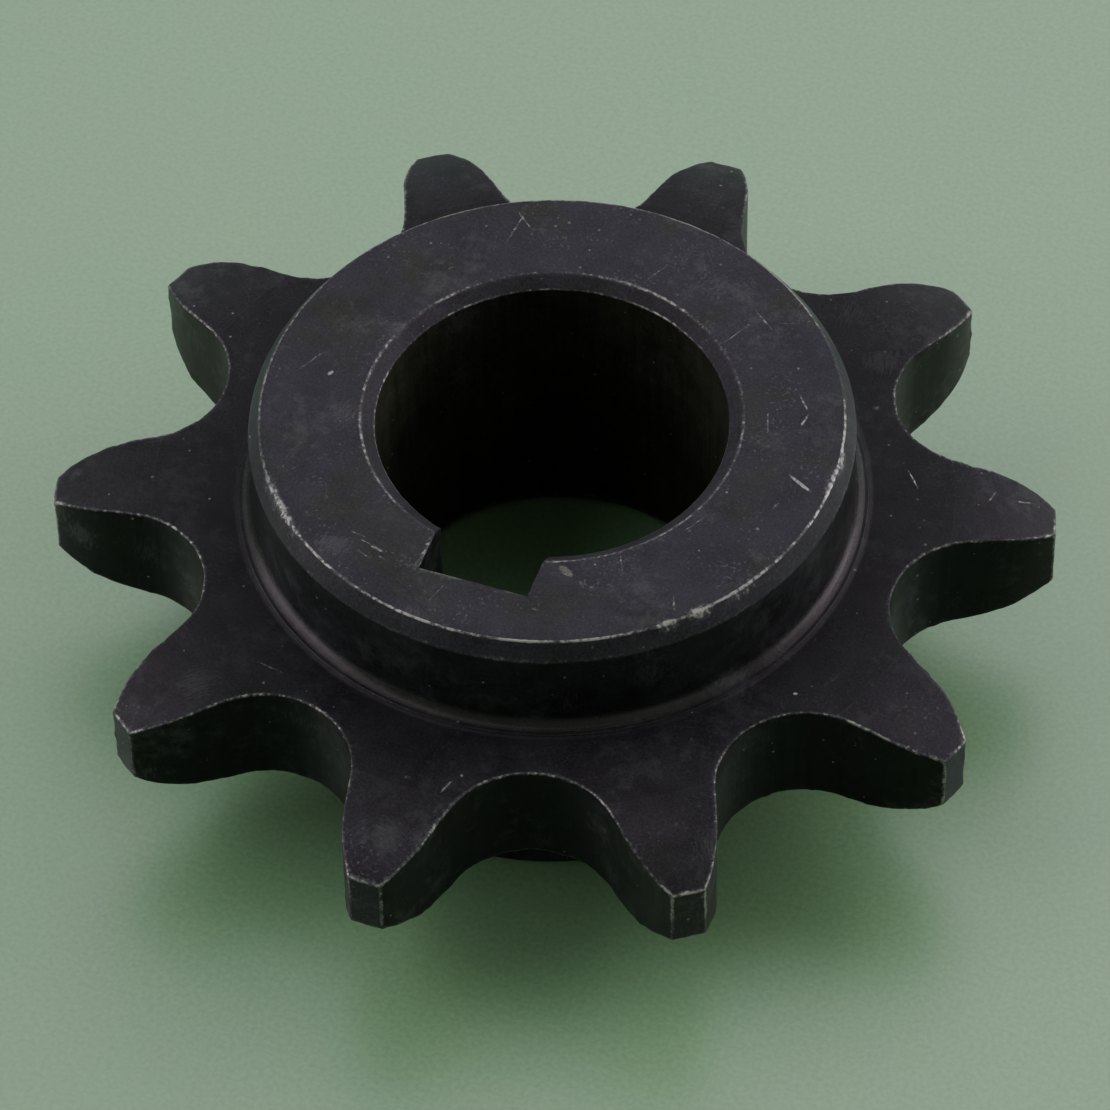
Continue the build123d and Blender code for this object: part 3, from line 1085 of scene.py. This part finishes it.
camera = bpy.data.objects.new("camera", bpy.data.cameras.new("camera"))
bpy.context.collection.objects.link(camera)
bpy.context.scene.camera = camera
camera.data.lens = LENS
camera.data.sensor_width = 36.0
camera.data.clip_start = 0.01
camera.data.clip_end = 10.0
back = Vector((
    cos(CAMERA_ELEVATION) * sin(CAMERA_TURN),
    -cos(CAMERA_ELEVATION) * cos(CAMERA_TURN),
    sin(CAMERA_ELEVATION),
))
across = Vector((cos(CAMERA_TURN), sin(CAMERA_TURN), 0))
upwards = back.cross(across)
looking_back = (back + upwards * CAMERA_TILT).normalized()
right = looking_back.cross(upwards).normalized() * -1
up = looking_back.cross(right)
right, up = (
    right * cos(CAMERA_ROLL) + up * sin(CAMERA_ROLL),
    up * cos(CAMERA_ROLL) - right * sin(CAMERA_ROLL),
)
turned = Matrix((right, up, looking_back)).transposed().to_4x4()
camera.matrix_world = Matrix.Translation(Vector((0, 0, aim_height)) + back * CAMERA_DISTANCE) @ turned

# %% [markdown]
# ## The light
#
# Two large windows behind the sprocket draw its chamfers and lay the sheen on the sheet, and the
# windows and walls on both sides light the rest.  Each is an area lamp, whose size sets how soft
# its shadow is.
# The world gives a little light from everywhere.  What the camera sees of it, directly or in a
# shiny surface, is a plain backdrop, and the Light Path node tells the two apart.

# %% The lamps
BACKDROP = "#9fb5a0"
ROOM_LIGHT = (0.038, 0.03, 0.025, 1.0)
DAYLIGHT = (0.96, 1.0, 1.13)  # a little bluer than the lamps indoors
world = bpy.data.worlds.new("studio")
world.use_nodes = True
tree = world.node_tree
rays = add(tree, "LightPath")
seen = rays.outputs["Is Camera Ray"]
for kind in ("Is Glossy Ray", "Is Transmission Ray"):
    seen = add(tree, "Math", {0: seen, 1: rays.outputs[kind]}, operation="MAXIMUM")
backdrop = add(tree, "Mix", {0: seen, 6: ROOM_LIGHT, 7: from_hex(BACKDROP)}, data_type="RGBA").outputs[2]
fill(tree.nodes["Background"], {"Color": backdrop})
bpy.context.scene.world = world


def softbox(name, azimuth, elevation, distance, width, height, power, colour=(1.0, 1.0, 1.0)):
    """A soft lamp that faces the sprocket; azimuth 0 is behind it as the camera sees it."""
    lamp = bpy.data.lights.new(name, "AREA")
    lamp.shape = "RECTANGLE"
    lamp.size, lamp.size_y = width, height
    lamp.energy = power
    lamp.color = colour
    thing = bpy.data.objects.new(name, lamp)
    thing.visible_camera = False
    bpy.context.collection.objects.link(thing)
    turn = CAMERA_TURN + radians(90 + azimuth)
    direction = Vector((
        cos(radians(elevation)) * cos(turn), cos(radians(elevation)) * sin(turn), sin(radians(elevation)),
    ))
    thing.location = direction * distance
    thing.rotation_euler = direction.to_track_quat("Z", "Y").to_euler()


softbox("back_window", 0, 50, 0.6, 0.6, 0.45, 0.434, DAYLIGHT)
softbox("low_back_window", 0, 25, 0.7, 0.9, 0.35, 0.235, DAYLIGHT)
softbox("ceiling", 0, 88, 0.6, 0.6, 0.6, 0.048)
softbox("right_window", -60, 30, 0.6, 0.4, 0.35, 1.027)
softbox("right_wall", -85, 14, 0.6, 0.4, 0.3, 1.0)
softbox("high_right_window", -80, 45, 0.6, 0.5, 0.4, 0.275)
softbox("left_wall", 88, 14, 0.6, 0.4, 0.3, 0.872)
softbox("high_left_window", 80, 45, 0.6, 0.5, 0.4, 1.319)
softbox("back_right_window", -40, 50, 0.6, 0.45, 0.4, 0.258)
softbox("room_behind_camera", -135, 30, 0.6, 0.45, 0.4, 0.262)
